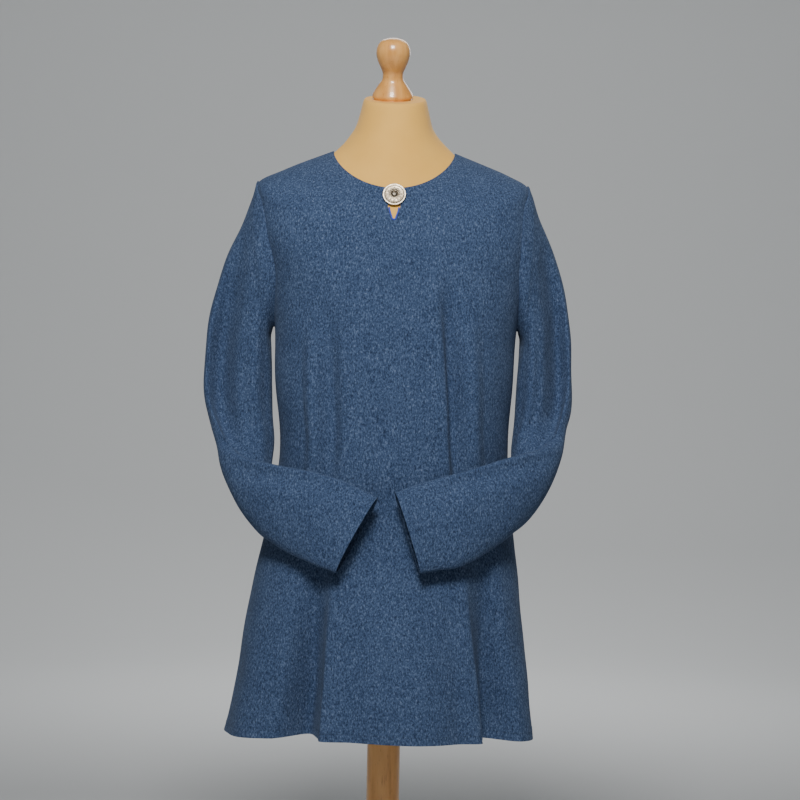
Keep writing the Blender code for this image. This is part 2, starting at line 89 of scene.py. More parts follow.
# The folds of the body. Depth moves the cloth out, or in below zero, and lean moves it round towards the right side.
# A closed fold fades out at both ends, an open one grows down to the hem.
Fold = namedtuple("Fold", "top_angle low_angle half_width depth lean top bottom open_end")
FOLDS = (
    Fold(96, 98, 31, 30, 0, 800, 437, True),
    Fold(61, 60, 12, -58, 0, 830, 437, True),
    Fold(71, 74, 7, 10, -12, 830, 437, True),
    Fold(132, 138, 14, -48, 0, 830, 437, True),
    Fold(118, 123, 7, 10, 12, 830, 437, True),
    Fold(30, 33, 20, 10, 0, 760, 437, True),
    Fold(160, 158, 16, 8, 0, 760, 437, True),
    Fold(212, 216, 14, -22, 0, 820, 437, True),
    Fold(238, 241, 18, 16, 0, 800, 437, True),
    Fold(264, 266, 13, -20, 0, 860, 437, True),
    Fold(294, 291, 17, 14, 0, 780, 437, True),
    Fold(322, 319, 14, -26, 0, 840, 437, True),
    Fold(63, 62, 9, -15, 0, 1160, 800, False),
    Fold(52, 52, 8, 9, 0, 1130, 820, False),
    Fold(110, 124, 8, -23, 0, 1215, 790, False),
    Fold(104, 116, 5, 4, 7, 1200, 820, False),
    Fold(122, 136, 8, 8, 0, 1160, 820, False),
    Fold(88, 87, 10, -9, 0, 870, 640, False),
    Fold(236, 232, 12, -7, 0, 1180, 860, False),
    Fold(300, 306, 11, -8, 0, 1200, 850, False),
)

# The sleeves' sections and creases, as in the solids
Section = namedtuple("Section", "outer_across outer_y outer_z inner_across inner_y inner_z half_depth")
LEFT_SLEEVE = (
    Section(239, 0, 1342, 205, 0, 1112, 56),
    Section(255, 2, 1301, 207, 0, 1100, 48),
    Section(282, 5, 1239, 205, 0, 1080, 41),
    Section(301, 6, 1178, 203, 0, 1052, 36),
    Section(313, 5, 1116, 202, 0, 1018, 33),
    Section(318, 2, 1044, 200, -2, 972, 31),
    Section(315, -8, 993, 196, -8, 922, 29),
    Section(300, -28, 953, 199, -30, 864, 27),
    Section(279, -56, 922, 202, -72, 785, 25),
    Section(247, -86, 904, 183, -102, 760, 22),
    Section(192, -116, 891, 154, -126, 745, 20),
    Section(100, -142, 876, 119, -150, 732, 19),
    Section(53, -150, 859, 96, -158, 725, 18),
    Section(16, -156, 843, 81, -166, 721, 17),
)
RIGHT_SLEEVE = (
    Section(232, 0, 1351, 217, 0, 1112, 56),
    Section(246, 2, 1311, 219, 0, 1100, 48),
    Section(273, 5, 1250, 217, 0, 1080, 41),
    Section(292, 6, 1190, 215, 0, 1052, 36),
    Section(301, 5, 1128, 213, 0, 1018, 33),
    Section(306, 2, 1057, 211, -2, 975, 31),
    Section(306, -8, 1006, 209, -8, 930, 29),
    Section(298, -28, 972, 209, -30, 886, 27),
    Section(284, -56, 944, 211, -72, 806, 25),
    Section(251, -86, 924, 195, -102, 780, 22),
    Section(195, -116, 909, 163, -126, 755, 20),
    Section(100, -142, 880, 122, -150, 734, 19),
    Section(54, -150, 865, 86, -158, 727, 18),
    Section(11, -156, 850, 54, -166, 722, 17),
)
SECTION_POWER = 0.85
COLLAR = 3.0
Crease = namedtuple("Crease", "start_angle end_angle half_width depth start end")
LEFT_CREASES = (
    Crease(62, 58, 38, -34, 1.0, 8.4),
    Crease(122, 122, 26, 10, 0.8, 7.5),
    Crease(318, 318, 30, -7, 8.2, 12.0),
    Crease(250, 250, 34, -8, 1.5, 6.5),
)
RIGHT_CREASES = LEFT_CREASES

# The keyhole slit below the neckline
SlitRow = namedtuple("SlitRow", "depth half_width")
SLIT = (
    SlitRow(-10, 3.5),
    SlitRow(6, 5.0),
    SlitRow(18, 9.0),
    SlitRow(28, 10.5),
    SlitRow(40, 8.5),
    SlitRow(50, 5.2),
)
SLIT_POINTS = 24
SLIT_END_POINTS = 14
CUTTER_NEAR = -60
CUTTER_FAR = -160

# The dress form, its neck and its turned wood, as in the solids
FORM = (
    Ring(690, 160, 162, 96, 0, 98, 0, 2.3, 2.0),
    Ring(697, 169, 171, 103, 0, 105, 0, 2.3, 2.0),
    Ring(745, 176, 178, 109, 0, 108, 0, 2.3, 2.0),
    Ring(815, 172, 175, 109, 0, 103, 0, 2.3, 2.0),
    Ring(890, 158, 163, 102, 0, 95, 0, 2.3, 2.0),
    Ring(960, 150, 157, 98, 0, 90, 0, 2.3, 2.0),
    Ring(1040, 160, 167, 104, 0, 92, 0, 2.3, 2.0),
    Ring(1120, 176, 184, 111, 4, 96, 4, 2.3, 1.9),
    Ring(1200, 188, 195, 116, 24, 102, 18, 2.3, 1.8),
    Ring(1275, 205, 207, 116, 54, 106, 44, 2.3, 1.7),
    Ring(1328, 219, 213, 112, 76, 106, 57, 2.3, 1.6),
)
FORM_NECK = (
    Ring(1434, 88, 84, 83, 58, 64, 16, 2.0, 1.2),
    Ring(1446, 79, 73, 73, 42, 60, 8, 2.0, 1.1),
    Ring(1462, 69, 63, 64, 29, 57, -4, 2.0, 1.05),
    Ring(1484, 62, 57, 58, 20, 55, -14, 2.0, 1.0),
    Ring(1505, 57, 52, 55, 17.9, 55, -17.9, 2.0, 1.0),
    Ring(1511, 54, 49, 52, 16.9, 52, -16.9, 2.0, 1.0),
)
FORM_GAP = 0.5
NECK_SLOPE = math.atan(16.9 / 52)
KNOB_X = -7
KNOB_PROFILE = (
    (0, 102), (10, 101), (21, 96.5), (27, 87.5), (28.8, 77), (26.8, 66), (22.6, 55.5), (18.3, 46), (17.4, 39),
    (18.6, 32), (24, 24), (30, 15), (34, 8), (34.5, 4), (32.5, 0.5), (31, 0), (0, 0),
)
FOOT_PROFILE = (
    (0, 60), (40, 60), (44, 56), (47, 38), (58, 31), (150, 27), (188, 24), (197, 18), (200, 9), (198, 0), (0, 0),
)
POLE_RADIUS = 28
POLE_LOW = 60.3
POLE_HIGH = 689.7

# The button, as radii and heights above its back
BUTTON_HEIGHT = 1337
BUTTON_PROFILE = (
    (0, 6.2), (2.6, 5.8), (4.6, 4.4), (5.4, 3.4), (6.2, 3.2), (8.0, 3.2), (8.8, 2.9), (13.2, 2.7), (14.0, 2.9),
    (16.4, 2.9), (17.0, 3.2), (18.6, 3.0), (19.5, 1.6), (19.2, 0.4), (18.2, 0), (0, 0),
)

# The camera of the photo: its place, focal length in the photo's pixels, and roll
PHOTO_WIDTH = 800
FOCAL_PIXELS = 1765
SENSOR_WIDTH = 36
CAMERA_AT = (16, -3000, 1000)
CAMERA_ROLL = math.radians(1.15)

# The studio
BOWL_RADIUS = 6.8
BOWL_BEND = 3.0
BOWL_HEIGHT = 6.0


def smooth_rows(rows, places):
    """The table's rows at some places, on smooth curves through its rows."""
    table = np.array(rows, float)
    last = len(table) - 1
    places = np.atleast_1d(np.asarray(places, float))
    index = np.clip(places.astype(int), 0, last - 1)
    part = (places - index)[:, None]
    before, start, end, after = (table[np.clip(index + near, 0, last)] for near in (-1, 0, 1, 2))
    bend = 2 * before - 5 * start + 4 * end - after
    twist = 3 * start - before - 3 * end + after
    return 0.5 * (2 * start + (end - before) * part + bend * part**2 + twist * part**3)


def ring_points(rings, places, angles):
    """Points of the rings at places, one row of angles for each, and the ways straight out."""
    fields = dict(zip(Ring._fields, smooth_rows(rings, places).T[:, :, None]))
    across, forward = np.cos(np.radians(angles)), np.sin(np.radians(angles))
    half_width = np.where(across > 0, fields["left"], fields["right"])
    depth = np.where(forward > 0, fields["front"], fields["back"])
    drop = np.where(forward > 0, fields["front_drop"], fields["back_drop"])
    power = 2 / fields["fullness"]
    x = -np.sign(across) * half_width * np.abs(across) ** power
    y = -np.sign(forward) * depth * np.abs(forward) ** power
    z = fields["height"] - drop * np.abs(forward) ** fields["drop_power"]
    out = np.stack([x / half_width**2, y / depth**2, np.zeros_like(x)], axis=-1)
    return np.stack([x, y, z], axis=-1), out / np.linalg.norm(out, axis=-1, keepdims=True)


def bump(distance):
    """A soft bump, 1 in its middle and 0 from 1 away."""
    return np.where(np.abs(distance) < 1, 0.5 + 0.5 * np.cos(np.pi * distance), 0.0)


def turn_between(angle, middle):
    """How far an angle is past another, from -180 to 180."""
    return (angle - middle + 180) % 360 - 180


def fold_shift(angles, heights):
    """How far the folds move the cloth out, and round towards the right."""
    outward, around = np.zeros_like(heights), np.zeros_like(heights)
    for fold in FOLDS:
        share = (fold.top - heights) / (fold.top - fold.bottom)
        if fold.open_end:
            share = np.clip(share, 0, 1)
            strength = share * share * (3 - 2 * share)
        else:
            strength = np.where((share > 0) & (share < 1), np.sin(np.pi * np.clip(share, 0, 1)), 0.0)
        middle = fold.top_angle + (fold.low_angle - fold.top_angle) * np.clip(share, 0, 1)
        rise = strength * bump(turn_between(angles, middle) / fold.half_width)
        outward += fold.depth * rise
        around += fold.lean * rise
    return outward, around


WAVES = (
    # way x, way y, way z, wavelength, height, start
    (0.9, 0.2, 0.4, 170, 0.7, 0.3),
    (0.5, -0.4, 0.8, 95, 0.45, 1.7),
    (-0.6, 0.5, 0.6, 63, 0.3, 4.1),
    (0.2, 0.9, -0.3, 120, 0.5, 2.6),
    (0.95, 0.1, -0.2, 41, 0.16, 5.2),
)


def soft_waves(points):
    """The small unevenness of hanging cloth, the same on both sides of a seam."""
    total = np.zeros(points.shape[:-1])
    for way_x, way_y, way_z, length, height, start in WAVES:
        along = points @ np.array([way_x, way_y, way_z])
        total += height * np.sin(2 * np.pi * along / length + start)
    return total


def cloth_points(places, angles):
    """The outer face of the body with its folds."""
    points, out = ring_points(BODY, places, angles)
    outward, around = fold_shift(angles, points[..., 2])
    calm = np.clip((NECK - np.asarray(places, float)) / 2.5, 0, 1)[:, None]
    outward = outward + soft_waves(points) * calm
    round_way = np.stack([-out[..., 1], out[..., 0], np.zeros_like(outward)], axis=-1)
    return points + out * outward[..., None] + round_way * around[..., None]


def cloth_at(place, angle):
    return cloth_points([place], np.array([[angle]]))[0, 0]


def cloth_normal_at(place, angle):
    around = cloth_at(place, angle + 0.6) - cloth_at(place, angle - 0.6)
    upward = cloth_at(place + 0.02, angle) - cloth_at(place - 0.02, angle)
    normal = np.cross(around, upward)
    return normal / np.linalg.norm(normal)


def edge_angles(places):
    """How far from the side the panels end, at each place."""
    places = np.asarray(places, float)
    gore = GORE_ANGLE * (np.clip(GORE_TOP - places, 0, None) / GORE_TOP) ** GORE_CURVE
    share = np.clip((places - ARMPIT) / (CORNER - ARMPIT), 0, 1)
    return gore + ARMHOLE_ANGLE * np.clip(np.sin(np.pi * share), 0, None) ** ARMHOLE_CURVE


def armhole_places(turns):
    """The places on the armhole at turns round it: 0 at the shoulder, 180 at the armpit."""
    return CORNER - (CORNER - ARMPIT) * (1 - np.cos(np.radians(turns))) / 2


def grid_normals(grid, closed_ring=False):
    """Normals of a grid of points whose columns run round to the right and whose rows run up."""
    if closed_ring:
        around = np.roll(grid, -1, axis=1) - np.roll(grid, 1, axis=1)
    else:
        around = np.gradient(grid, axis=1)
    normals = np.cross(around, np.gradient(grid, axis=0))
    return normals / np.linalg.norm(normals, axis=2, keepdims=True)


def link_mesh(name, vertices, faces, sharp=60):
    """A mesh object from points in millimetres, smooth but for its sharp edges."""
    mesh = bpy.data.meshes.new(name)
    mesh.from_pydata(np.asarray(vertices) * MM, [], faces)
    work = bmesh.new()
    work.from_mesh(mesh)
    bmesh.ops.recalc_face_normals(work, faces=work.faces)
    work.to_mesh(mesh)
    work.free()
    mesh.shade_smooth()
    mesh.set_sharp_from_angle(angle=math.radians(sharp))
    thing = bpy.data.objects.new(name, mesh)
    bpy.context.scene.collection.objects.link(thing)
    return thing


def grid_faces(rows, columns, closed_ring, offset=0, flip=False):
    faces = []
    for row in range(rows - 1):
        for column in range(columns if closed_ring else columns - 1):
            beside = (column + 1) % columns
            corners = [row * columns + column, row * columns + beside]
            corners += [corners[1] + columns, corners[0] + columns]
            corners = [corner + offset for corner in corners]
            faces.append(tuple(reversed(corners)) if flip else tuple(corners))
    return faces


def add_wall(name, outer, inner, closed_ring=False):
    """A sheet of cloth between two grids of points, closed along its rims."""
    rows, columns = outer.shape[:2]
    inside = rows * columns
    faces = grid_faces(rows, columns, closed_ring) + grid_faces(rows, columns, closed_ring, inside, True)
    for column in range(columns if closed_ring else columns - 1):
        beside = (column + 1) % columns
        for first in (0, (rows - 1) * columns):
            faces.append((first + column, first + beside, first + beside + inside, first + column + inside))
    if not closed_ring:
        for row in range(rows - 1):
            for column in (0, columns - 1):
                low, high = row * columns + column, (row + 1) * columns + column
                faces.append((low, high, high + inside, low + inside))
    return link_mesh(name, np.concatenate([outer.reshape(-1, 3), inner.reshape(-1, 3)]), faces)


def draw_edges_in(points):
    """Draws the side edges of a panel in by half the gap of a seam."""
    shifted = points.copy()
    for edge, neighbour in ((0, 1), (-1, -2)):
        inward = points[:, neighbour] - points[:, edge]
        shifted[:, edge] += inward / np.linalg.norm(inward, axis=1)[:, None] * SEAM / 2
    return shifted


def body_places():
    """The places of the fine rows, with more of them round the armhole's ends and on the shoulder."""
    skirt = np.linspace(0, ARMPIT, int(BODY_ROWS * 0.55), endpoint=False)
    armhole = armhole_places(np.linspace(180, 0, int(BODY_ROWS * 0.27)))
    shoulder = np.linspace(CORNER, NECK, int(BODY_ROWS * 0.18) + 1)[1:]
    return np.concatenate([skirt, armhole, shoulder])


def panel_grid(places, columns, start, end):
    across = np.linspace(0, 1, columns + 1)[None, :]
    angles = start[:, None] + (end - start)[:, None] * across
    return cloth_points(places, angles)


def add_panel(name, places, columns, start, end):
    outer = draw_edges_in(panel_grid(places, columns, start, end))
    return add_wall(name, outer, outer - grid_normals(outer) * WALL)


def add_front():
    places = body_places()
    edge = edge_angles(places)
    front = add_panel("front_cloth", places, FRONT_COLUMNS, edge, 180 - edge)
    cutter = add_slit_cutter()
    modifier = front.modifiers.new("slit", "BOOLEAN")
    modifier.operation = "DIFFERENCE"
    modifier.solver = "EXACT"
    modifier.object = cutter
    apply_modifiers(front)
    bpy.data.objects.remove(cutter)
    return front


def add_back():
    places = body_places()
    edge = edge_angles(places)
    return add_panel("back_cloth", places, BACK_COLUMNS, 180 + edge, 360 - edge)


def add_gore(name, side_angle):
    places = np.append(np.linspace(0, GORE_TOP * 0.99, int(BODY_ROWS * 0.4)), GORE_TOP * 0.997)
    edge = edge_angles(places)
    return add_panel(name, places, GORE_COLUMNS, side_angle - edge, side_angle + edge)


def apply_modifiers(thing):
    """Keeps the mesh that the modifiers make."""
    graph = bpy.context.evaluated_depsgraph_get()
    made = bpy.data.meshes.new_from_object(thing.evaluated_get(graph), depsgraph=graph)
    thing.modifiers.clear()
    thing.data = made


def slit_outline():
    """The slit's right half, as x and depth below the neckline, down to the bottom of its round end."""
    rows = smooth_rows(SLIT, np.linspace(0, len(SLIT) - 1, SLIT_POINTS))
    points = [(half_width, depth) for depth, half_width in rows]
    radius, end = SLIT[-1].half_width, SLIT[-1].depth
    for turn in np.linspace(0, math.pi / 2, SLIT_END_POINTS + 1)[1:]:
        points.append((radius * math.cos(turn), end + radius * math.sin(turn)))
    return points


def whole_outline():
    half = slit_outline()
    return half + [(-x, depth) for x, depth in reversed(half[:-1])]


def add_slit_cutter():
    top = cloth_at(NECK, 90)[2]
    outline = whole_outline()
    count = len(outline)
    vertices = [(x, y, top - depth) for y in (CUTTER_NEAR, CUTTER_FAR) for x, depth in outline]
    faces = [tuple(range(count)), tuple(range(2 * count - 1, count - 1, -1))]
    faces += [(step, (step + 1) % count, count + (step + 1) % count, count + step) for step in range(count)]
    return link_mesh("slit_cutter", vertices, faces)


def on_front(x, z):
    """The place and angle where the front has this x and z."""
    place, angle, step = NECK - 0.5, 90.0, 0.01
    for _ in range(8):
        here = cloth_at(place, angle)
        by_place = (cloth_at(place + step, angle) - here) / step
        by_angle = (cloth_at(place, angle + step) - here) / step
        slopes = [[by_place[0], by_angle[0]], [by_place[2], by_angle[2]]]
        moves = np.linalg.solve(slopes, [x - here[0], z - here[2]])
        place, angle = place + moves[0], angle + moves[1]
    return place, angle


def sleeve_turns():
    return np.arange(SLEEVE_SIDES) * 360 / SLEEVE_SIDES


def armhole_ring(side, out_by):
    """The sleeve's points in the armhole, a seam's gap inside its edge and moved out of the panel by a distance."""
    turns = sleeve_turns()
    places = armhole_places(turns)
    away = np.where(turns <= 180, 1, -1) * edge_angles(places)
    angles = away if side < 0 else 180 - away
    edges = np.array([cloth_at(place, angle) for place, angle in zip(places, angles)])
    normals = np.array([cloth_normal_at(place, angle) for place, angle in zip(places, angles)])
    inward = edges.mean(axis=0) - edges
    inward /= np.linalg.norm(inward, axis=1)[:, None]
    return edges + inward * SEAM + normals * out_by


def crease_depth(creases, turns, place):
    """How far the creases move the faces of a sleeve out, or in where it is below zero."""
    total = np.zeros_like(turns)
    for crease in creases:
        share = (place - crease.start) / (crease.end - crease.start)
        if 0 < share < 1:
            middle = crease.start_angle + (crease.end_angle - crease.start_angle) * share
            rise = bump(turn_between(turns, middle) / crease.half_width)
            total += crease.depth * math.sin(math.pi * share) * rise
    return total


def section_rings(sections, creases, side, places):
    """Rings of a sleeve: flat ovals between its two edges, facing along the sleeve."""
    rows = smooth_rows(sections, places)
    outer, inner = rows[:, 0:3] * [side, 1, 1], rows[:, 3:6] * [side, 1, 1]
    middle, outward = (outer + inner) / 2, (outer - inner) / 2
    ahead = np.gradient(middle, axis=0)
    faceward = np.cross(outward, ahead) * -side
    faceward /= np.linalg.norm(faceward, axis=1)[:, None]
    turns = sleeve_turns()
    across, forward = np.cos(np.radians(turns)), np.sin(np.radians(turns))
    rings = []
    for place, centre, out, face, half_depth in zip(places, middle, outward, faceward, rows[:, 6]):
        rise = np.sign(forward) * (half_depth * np.abs(forward) ** SECTION_POWER + crease_depth(creases, turns, place))
        rings.append(centre + out * across[:, None] + face * rise[:, None])
    return rings


def add_sleeve(name, sections, creases, side):
    """A tube from the armhole to the open cuff. The side is -1 for the left one and 1 for the right one."""
    rings = [armhole_ring(side, out_by) for out_by in (-WALL, 0.0, COLLAR)]
    rings += section_rings(sections, creases, side, np.linspace(0, len(sections) - 1, SLEEVE_RINGS))
    outer = np.array(rings)
    fade = np.clip(np.arange(len(rings)) / 20, 0, 1)[:, None]
    normals = grid_normals(outer, True) * side
    outer = outer + normals * (soft_waves(outer) * fade)[..., None]
    normals = grid_normals(outer, True) * side
    return add_wall(name, outer, outer - normals * WALL, True)


def add_form():
    """The smooth torso and neck in their cover, a small gap under the shoulders of the cloth."""
    angles = np.arange(FORM_SIDES)[None, :] * 360 / FORM_SIDES
    low_places = np.linspace(0, len(FORM) - 1, 60)
    rings = list(ring_points(FORM, low_places, np.repeat(angles, 60, axis=0))[0])
    shoulder_places = np.linspace(CORNER, NECK, 24)
    grid = ring_points(BODY, shoulder_places, np.repeat(angles, 24, axis=0))[0]
    rings += list(grid - grid_normals(grid, True) * (WALL + FORM_GAP + 0.6))
    neck_places = np.linspace(0, len(FORM_NECK) - 1, 34)
    rings += list(ring_points(FORM_NECK, neck_places, np.repeat(angles, 34, axis=0))[0])
    count = len(rings)
    faces = grid_faces(count, FORM_SIDES, True)
    faces += [tuple(range(FORM_SIDES)), tuple((count - 1) * FORM_SIDES + step for step in range(FORM_SIDES))]
    return link_mesh("form_cover", np.concatenate(rings), faces, sharp=40)


def add_turned(name, profile, steps, fine=6):
    """A turned piece from a smooth curve through its profile, screwed round Z."""
    table = np.array(profile, float)
    points = smooth_rows(table, np.linspace(0, len(table) - 1, (len(table) - 1) * fine + 1)) if fine > 1 else table
    points[:, 0] = np.clip(points[:, 0], 0, None)
    mesh = bpy.data.meshes.new(name)
    edges = [(point, point + 1) for point in range(len(points) - 1)]
    mesh.from_pydata([(radius * MM, 0, height * MM) for radius, height in points], edges, [])
    thing = bpy.data.objects.new(name, mesh)
    bpy.context.scene.collection.objects.link(thing)
    screw = thing.modifiers.new("turned", "SCREW")
    screw.steps = screw.render_steps = steps
    screw.use_merge_vertices = True
    screw.merge_threshold = 0.00001
    screw.use_smooth_shade = True
    apply_modifiers(thing)
    thing.data.set_sharp_from_angle(angle=math.radians(40))
    return thing


class Nodes:
    """A short way to write a material's nodes."""

    def __init__(self, name):
        self.material = bpy.data.materials.new(name)
        self.material.use_nodes = True
        self.tree = self.material.node_tree
        self.shader = self.tree.nodes["Principled BSDF"]
        self.place = self.add("ShaderNodeTexCoord").outputs["Object"]

    def add(self, kind, **values):
        node = self.tree.nodes.new(kind)
        for key, value in values.items():
            if hasattr(node, key):
                setattr(node, key, value)
            else:
                node.inputs[key.replace("_", " ")].default_value = value
        return node

    def link(self, source, target):
        self.tree.links.new(source, target)

    def noise(self, scale, detail=2.0, roughness=0.5, stretch=None, distortion=0.0):
        """Noise of so many cells a metre, stretched by a factor for each axis."""
        node = self.add("ShaderNodeTexNoise", Scale=scale, Detail=detail, Roughness=roughness, Distortion=distortion)
        vector = self.place
        if stretch:
            mapping = self.add("ShaderNodeMapping", Scale=stretch)
            self.link(vector, mapping.inputs["Vector"])
            vector = mapping.outputs["Vector"]
        self.link(vector, node.inputs["Vector"])
        return node.outputs["Fac"]

    def ramp(self, source, stops):
        """A colour ramp: each stop is a position and a colour."""
        node = self.add("ShaderNodeValToRGB")
        ramp = node.color_ramp
        while len(ramp.elements) < len(stops):
            ramp.elements.new(0.5)
        for element, (position, colour) in zip(ramp.elements, stops):
            element.position = position
            element.color = (*colour, 1.0)
        self.link(source, node.inputs["Fac"])
        return node.outputs["Color"]

    def mix(self, share, first, second, way="MIX"):
        """Mixes two colours, each a socket or a colour, by a share, a socket or a number."""
        node = self.add("ShaderNodeMix", data_type="RGBA", blend_type=way)
        for value, socket in ((share, node.inputs[0]), (first, node.inputs[6]), (second, node.inputs[7])):
            if hasattr(value, "is_output"):
                self.link(value, socket)
            elif socket.type == "RGBA":
                socket.default_value = (*value, 1.0)
            else:
                socket.default_value = value
        return node.outputs[2]

    def math(self, way, first, second=0.0):
        node = self.add("ShaderNodeMath", operation=way)
        for value, socket in ((first, node.inputs[0]), (second, node.inputs[1])):
            if hasattr(value, "is_output"):
                self.link(value, socket)
            else:
                socket.default_value = value
        return node.outputs[0]

    def bump(self, height, distance, strength=1.0, under=None):
        node = self.add("ShaderNodeBump", Strength=strength, Distance=distance)
        self.link(height, node.inputs["Height"])
        if under is not None:
            self.link(under, node.inputs["Normal"])
        return node.outputs["Normal"]


def wool_material(name="blue_wool", shade=1.0):
    """Heathered wool: pale and dark fibres in a blue ground, with a soft nap over a fine twill."""
    nodes = Nodes(name)
    ground = nodes.ramp(
        nodes.noise(430, 3.0, 0.7, stretch=(1.0, 1.0, 0.55)),
        [
            (0.30, [value * shade for value in (0.012, 0.022, 0.055)]),
            (0.47, [value * shade for value in (0.036, 0.066, 0.140)]),
            (0.60, [value * shade for value in (0.082, 0.128, 0.235)]),
            (0.74, [value * shade for value in (0.190, 0.240, 0.360)]),
        ],
    )
    fleck = nodes.ramp(nodes.noise(900, 2.0, 0.6), [(0.60, (0, 0, 0)), (0.72, (1, 1, 1))])
    colour = nodes.mix(nodes.math("MULTIPLY", fleck, 0.5), ground, [value * shade for value in (0.16, 0.24, 0.36)])
    cloud = nodes.ramp(nodes.noise(22, 3.0, 0.6), [(0.3, (0.88, 0.9, 0.92)), (0.7, (1.08, 1.06, 1.04))])
    nodes.link(nodes.mix(1.0, colour, cloud, "MULTIPLY"), nodes.shader.inputs["Base Color"])
    nodes.shader.inputs["Roughness"].default_value = 0.92
    nodes.shader.inputs["Specular IOR Level"].default_value = 0.25
    nodes.shader.inputs["Sheen Weight"].default_value = 0.08
    nodes.shader.inputs["Sheen Roughness"].default_value = 0.45
    nodes.shader.inputs["Sheen Tint"].default_value = (0.55, 0.68, 0.9, 1.0)
    twill = nodes.add("ShaderNodeTexWave", wave_type="BANDS", bands_direction="DIAGONAL", Scale=520.0, Distortion=3.0)
    nodes.link(nodes.place, twill.inputs["Vector"])
    rough = nodes.bump(nodes.noise(700, 3.0, 0.7), 0.0012, 0.7)
    nodes.link(nodes.bump(twill.outputs["Fac"], 0.0004, 0.5, under=rough), nodes.shader.inputs["Normal"])
    return nodes.material


def binding_material():
    """Bright blue woven binding with a fine cross rib."""
    nodes = Nodes("blue_binding")
    colour = nodes.ramp(nodes.noise(900, 2.0), [(0.35, (0.010, 0.035, 0.33)), (0.7, (0.035, 0.09, 0.62))])
    nodes.link(colour, nodes.shader.inputs["Base Color"])
    nodes.shader.inputs["Roughness"].default_value = 0.55
    nodes.shader.inputs["Sheen Weight"].default_value = 0.3
    nodes.link(nodes.bump(nodes.noise(1500, 2.0), 0.0005, 0.6), nodes.shader.inputs["Normal"])
    return nodes.material


def metal_material():
    """Antique silvered metal, dark in its recesses."""
    nodes = Nodes("antique_metal")
    pointed = nodes.add("ShaderNodeNewGeometry").outputs["Pointiness"]
    worn = nodes.ramp(pointed, [(0.42, (0.05, 0.04, 0.03)), (0.50, (0.36, 0.31, 0.24)), (0.60, (0.78, 0.72, 0.62))])
    patch = nodes.ramp(nodes.noise(260, 4.0, 0.65), [(0.35, (0.6, 0.56, 0.5)), (0.65, (1.0, 0.98, 0.94))])
    nodes.link(nodes.mix(1.0, worn, patch, "MULTIPLY"), nodes.shader.inputs["Base Color"])
    nodes.shader.inputs["Metallic"].default_value = 1.0
    rough = nodes.ramp(nodes.noise(400, 3.0), [(0.3, (0.28, 0.28, 0.28)), (0.7, (0.5, 0.5, 0.5))])
    nodes.link(rough, nodes.shader.inputs["Roughness"])
    nodes.link(nodes.bump(nodes.noise(900, 3.0), 0.0002, 0.5), nodes.shader.inputs["Normal"])
    return nodes.material


def jersey_material():
    """Cream cotton jersey: fine upright ribs of stitches."""
    nodes = Nodes("cream_jersey")
    shade = nodes.ramp(nodes.noise(14, 3.0), [(0.3, (0.88, 0.47, 0.080)), (0.7, (0.95, 0.53, 0.105))])
    nodes.link(shade, nodes.shader.inputs["Base Color"])
    nodes.shader.inputs["Roughness"].default_value = 0.85
    nodes.shader.inputs["Sheen Weight"].default_value = 0.2
    ribs = nodes.add("ShaderNodeTexWave", wave_type="BANDS", bands_direction="X", Scale=260.0, Distortion=0.6)
    nodes.link(nodes.place, ribs.inputs["Vector"])
    soft = nodes.bump(nodes.noise(700, 2.0), 0.0004, 0.4)
    nodes.link(nodes.bump(ribs.outputs["Fac"], 0.0003, 0.3, under=soft), nodes.shader.inputs["Normal"])
    return nodes.material


def wood_material():
    """Varnished beech, with long upright grain and short flecks."""
    nodes = Nodes("varnished_beech")
    grain = nodes.noise(38, 4.0, 0.6, stretch=(1.0, 1.0, 0.12), distortion=0.6)
    colour = nodes.ramp(grain, [(0.3, (0.62, 0.26, 0.055)), (0.5, (0.80, 0.38, 0.095)), (0.7, (0.90, 0.47, 0.140))])
    fleck = nodes.ramp(nodes.noise(420, 2.0, stretch=(1.0, 1.0, 0.15)), [(0.62, (1, 1, 1)), (0.72, (0.8, 0.72, 0.62))])
    nodes.link(nodes.mix(1.0, colour, fleck, "MULTIPLY"), nodes.shader.inputs["Base Color"])
    nodes.shader.inputs["Roughness"].default_value = 0.34
    nodes.shader.inputs["Coat Weight"].default_value = 0.6
    nodes.shader.inputs["Coat Roughness"].default_value = 0.12
    nodes.link(nodes.bump(grain, 0.0006, 0.15), nodes.shader.inputs["Normal"])
    return nodes.material


def plain_material(name, colour, roughness):
    nodes = Nodes(name)
    nodes.shader.inputs["Base Color"].default_value = (*colour, 1.0)
    nodes.shader.inputs["Roughness"].default_value = roughness
    return nodes.material


def dress(thing, material, node):
    """Gives a piece its material, and says what it rides on and which solid it replaces."""
    thing.data.materials.clear()
    thing.data.materials.append(material)
    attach(thing, "root")
    if node:
        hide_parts(node)
    return thing


